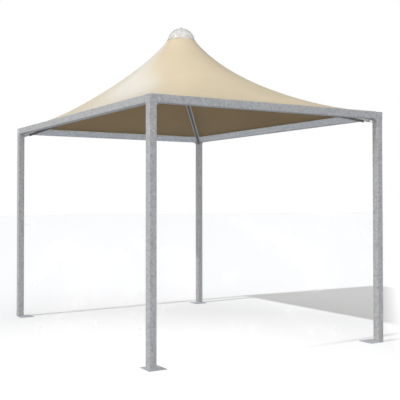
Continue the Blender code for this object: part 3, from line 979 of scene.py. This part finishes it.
# %% Screws along the rails
SCREW_STEP = 0.25                 # about this far apart
SCREW_INWARD = 0.0048
SCREW_RADIUS = 0.0036
RAIL_END = 0.05                   # from the rail's end to its first screw
for side, (_, _, reach) in SIDES.items():
    span = reach - RAIL_END
    count = round(2 * span / SCREW_STEP)
    places = [side_place(side) @ Matrix.Translation((span * (2 * k / count - 1), SCREW_INWARD, FLANGE))
              for k in range(count + 1)]
    gather(button_screw("screw", SCREW_RADIUS), "rail_screws_" + side, places, bolt_steel)
    print(side, "rail:", count + 1, "screws")

# %% [markdown]
# ## Weld beads
#
# Before it was dipped in zinc the frame was welded. A bead fills the inner corner between two faces
# and shows the small ripples of the welder's hand. Each bead is a grid rolled into a quarter round whose
# size swells and shrinks along its length. Joints that lie flush with the outside were ground flat.

# %% One bead
RIPPLE = 0.0032                   # from one ripple to the next
SWELL = 0.16                      # of the ripples, as a share of the bead's size
HOLLOW = 0.14                     # how far the bead's face is drawn in
ROUND_POINTS = 5                  # across its face


def bead(name, length, leg):
    """A rippled bead along X in the corner between the faces along Y and Z."""
    count = 3 * max(2, round(length / RIPPLE))
    nothing_selected()
    bpy.ops.mesh.primitive_grid_add(x_subdivisions=count, y_subdivisions=ROUND_POINTS + 1, size=1)
    piece = new_piece(name)
    for vertex in piece.data.vertices:
        along = vertex.co.x + 0.5
        step = round((vertex.co.y + 0.5) * (ROUND_POINTS + 1)) % (ROUND_POINTS + 1)
        from_end = min(along, 1 - along) * length
        swell = 1 - SWELL + SWELL * abs(math.cos(math.pi * along * length / RIPPLE))
        size = leg * swell * min(1, math.sqrt(from_end / leg)) if from_end > 0 else 0
        turn = math.pi / 2 * (step - 1) / (ROUND_POINTS - 1)
        reach = 0 if step == 0 else size * (1 - HOLLOW * math.sin(2 * turn))
        vertex.co = (along * length, reach * math.cos(turn), reach * math.sin(turn))
    close_up(piece, 60)
    return piece


def corner_frame(spot, along, first, second):
    """X along the corner, Y along the first face and Z along the second."""
    axes = Matrix((Vector(along), Vector(first), Vector(second))).transposed().to_4x4()
    return Matrix.Translation(spot) @ axes


print("a ripple every", round(RIPPLE * 1000, 1), "mm")

# %% Welds of the posts, beams and gussets
TUBE = 0.08
INNER_X, INNER_Y = HALF_WIDTH - TUBE, HALF_LENGTH - TUBE
PLATE_TOP = 0.008
BEAM_BOTTOM = 2.54
GUSSET_EDGE = 0.010               # from the post's side to the gusset's
GUSSET_BEAD, GUSSET_LEG = 0.033, 0.0035
FOOT_BEAD, FOOT_LEG = 0.066, 0.005
BEAD_START = 0.007                # from the tube's corner to the end of a foot's bead
SUNK = 0.001                      # how far a gusset's bead starts inside its corner
DOWN, UP = (0, 0, -1), (0, 0, 1)
foot_places, gusset_places = [], []
for sx, sy in CORNERS.values():
    in_x, in_y = (-sx, 0, 0), (0, -sy, 0)
    foot_places += [
        corner_frame((sx * INNER_X, sy * (INNER_Y + BEAD_START), PLATE_TOP), (0, sy, 0), in_x, UP),
        corner_frame((sx * (INNER_X + BEAD_START), sy * INNER_Y, PLATE_TOP), (sx, 0, 0), in_y, UP),
        corner_frame((sx * INNER_X, sy * INNER_Y, BEAM_BOTTOM + BEAD_START), UP, in_x, in_y)]
    for out, edge in ((-1, GUSSET_EDGE), (1, TUBE - GUSSET_EDGE)):
        y, x = sy * (INNER_Y + edge), sx * (INNER_X + edge)
        side_y, side_x = (0, out * sy, 0), (out * sx, 0, 0)
        gusset_places += [
            corner_frame((sx * (INNER_X - SUNK), y, BEAM_BOTTOM), in_x, side_y, DOWN),
            corner_frame((sx * INNER_X, y, BEAM_BOTTOM - SUNK), DOWN, side_y, in_x),
            corner_frame((x, sy * (INNER_Y - SUNK), BEAM_BOTTOM), in_y, side_x, DOWN),
            corner_frame((x, sy * INNER_Y, BEAM_BOTTOM - SUNK), DOWN, side_x, in_y)]
gather(bead("bead", FOOT_BEAD, FOOT_LEG), "frame_welds", foot_places, steel)
gather(bead("bead", GUSSET_BEAD, GUSSET_LEG), "gusset_welds", gusset_places, steel)
print(len(foot_places), "long beads and", len(gusset_places), "short ones")

# %% Welds that close the joints on top of the posts
JOINT_DEEP = 0.0035               # how far the ground weld reaches in from the tube's faces
TUBE_ROUND = 0.006                # rounding of the tube's long edges
joint_low, joint_high = top("post_front_left"), bottom("beam_front")


def square_weld(name, half_side, low, high):
    """A ground weld round the top of a square tube, open in the middle."""
    nothing_selected()
    bpy.ops.mesh.primitive_plane_add(size=2 * half_side, location=(0, 0, low))
    piece = new_piece(name)
    own_place(piece)
    in_edit_mode(piece)
    bpy.ops.mesh.inset(thickness=JOINT_DEEP)
    bpy.ops.mesh.delete(type="FACE")
    bpy.ops.mesh.select_all(action="SELECT")
    bpy.ops.mesh.extrude_region_move(TRANSFORM_OT_translate={"value": (0, 0, high - low)})
    close_up(piece)
    return piece


def groove_weld(name):
    """Fills the groove under a beam's rounded edge along X, flush with the face and the tube's corners."""
    ends = [0, TUBE_ROUND / 8, TUBE_ROUND / 3, TUBE_ROUND]
    stations = ends + [TUBE - along for along in reversed(ends)]
    hollow = arc((TUBE_ROUND, TUBE_ROUND), TUBE_ROUND, 202.5, 270, 3)
    nothing_selected()
    bpy.ops.mesh.primitive_grid_add(x_subdivisions=len(stations) - 1, y_subdivisions=6, size=1)
    piece = new_piece(name)
    for vertex in piece.data.vertices:
        along = stations[round((vertex.co.x + 0.5) * (len(stations) - 1))]
        past = max(0, TUBE_ROUND - min(along, TUBE - along))
        sunk = TUBE_ROUND - math.sqrt(TUBE_ROUND ** 2 - past ** 2)
        outline = [(sunk, 0), (0, TUBE_ROUND)] + hollow
        vertex.co = (along, *outline[round((vertex.co.y + 0.5) * 6) % 6])
    close_up(piece)
    return piece


post_tops = [Matrix.Translation((sx * (HALF_WIDTH - TUBE / 2), sy * (HALF_LENGTH - TUBE / 2), 0))
             for sx, sy in CORNERS.values()]
gather(square_weld("joint", TUBE / 2, joint_low, joint_high), "post_top_welds", post_tops, steel)
grooves = [corner_frame((sx * HALF_WIDTH, sy * HALF_LENGTH, joint_high), (-sx, 0, 0), (0, -sy, 0), UP)
           for sx, sy in CORNERS.values()]
gather(groove_weld("groove"), "post_face_welds", grooves, steel)
print("joint of", round((joint_high - joint_low) * 1000, 2), "mm closed on four posts")

# %% Stitch welds between the struts and their straps
STRUT, STRAP_UNDER = 0.028, 0.0143
STITCH, STITCH_STEP, STITCH_LEG = 0.040, 0.27, 0.0045
FIRST_STITCH, LAST_STITCH = 0.10, 2.24
HUB_FACE = 0.0603
# The bead round the mast's foot: outwards from the mast, and up from the foot
MAST_BEAD = [(0, 0), (0.0055, 0), (0.0045, 0.0028), (0.0022, 0.0048), (0, 0.0056), (0, 0)]
stitch_places, hub_places = [], []
stitches = round((LAST_STITCH - FIRST_STITCH) / STITCH_STEP)
for sx, sy in CORNERS.values():
    for k in range(stitches + 1):
        run = FIRST_STITCH + (LAST_STITCH - FIRST_STITCH) * k / stitches
        for side in (-1, 1):
            corner = rafter_frame(sx, sy, run, STRAP_UNDER, side * STRUT / 2)
            stitch_places.append(corner @ corner_frame((0, 0, 0), (1, 0, 0), (0, side, 0), DOWN))
    corner = rafter_frame(sx, sy, HUB_FACE, -STRUT / 2, -STRUT / 2)
    hub_places.append(corner @ corner_frame((0, 0, 0), (0, 1, 0), (1, 0, 0), DOWN))
gather(bead("bead", STITCH, STITCH_LEG), "rafter_stitch_welds", stitch_places, dark_steel)
gather(bead("bead", STRUT, STITCH_LEG), "hub_welds", hub_places, steel)
dress(turned("mast_weld", [(MAST_RADIUS + out, foot_top + up) for out, up in MAST_BEAD], 48), steel)
print(len(stitch_places), "stitch welds")

# %% [markdown]
# ## Which pieces the lamps light
#
# The membrane, the dome and the floor have the light they need, so two of the cards leave them out. The
# third card lights only the inner faces of the two far beams, and the rim light leaves out the dome.

# %% Link the lamps
light_only([card, back_card], "left_out_by_cards", [floor, membrane, dome] + cords, but_these=True)
light_only([inner_card], "lit_by_inner_card", [nodes["beam_back"], nodes["beam_right"]])
light_only([rim], "left_out_by_rim_light", [dome], but_these=True)
print("two cards light all but", 3 + len(cords), "pieces")
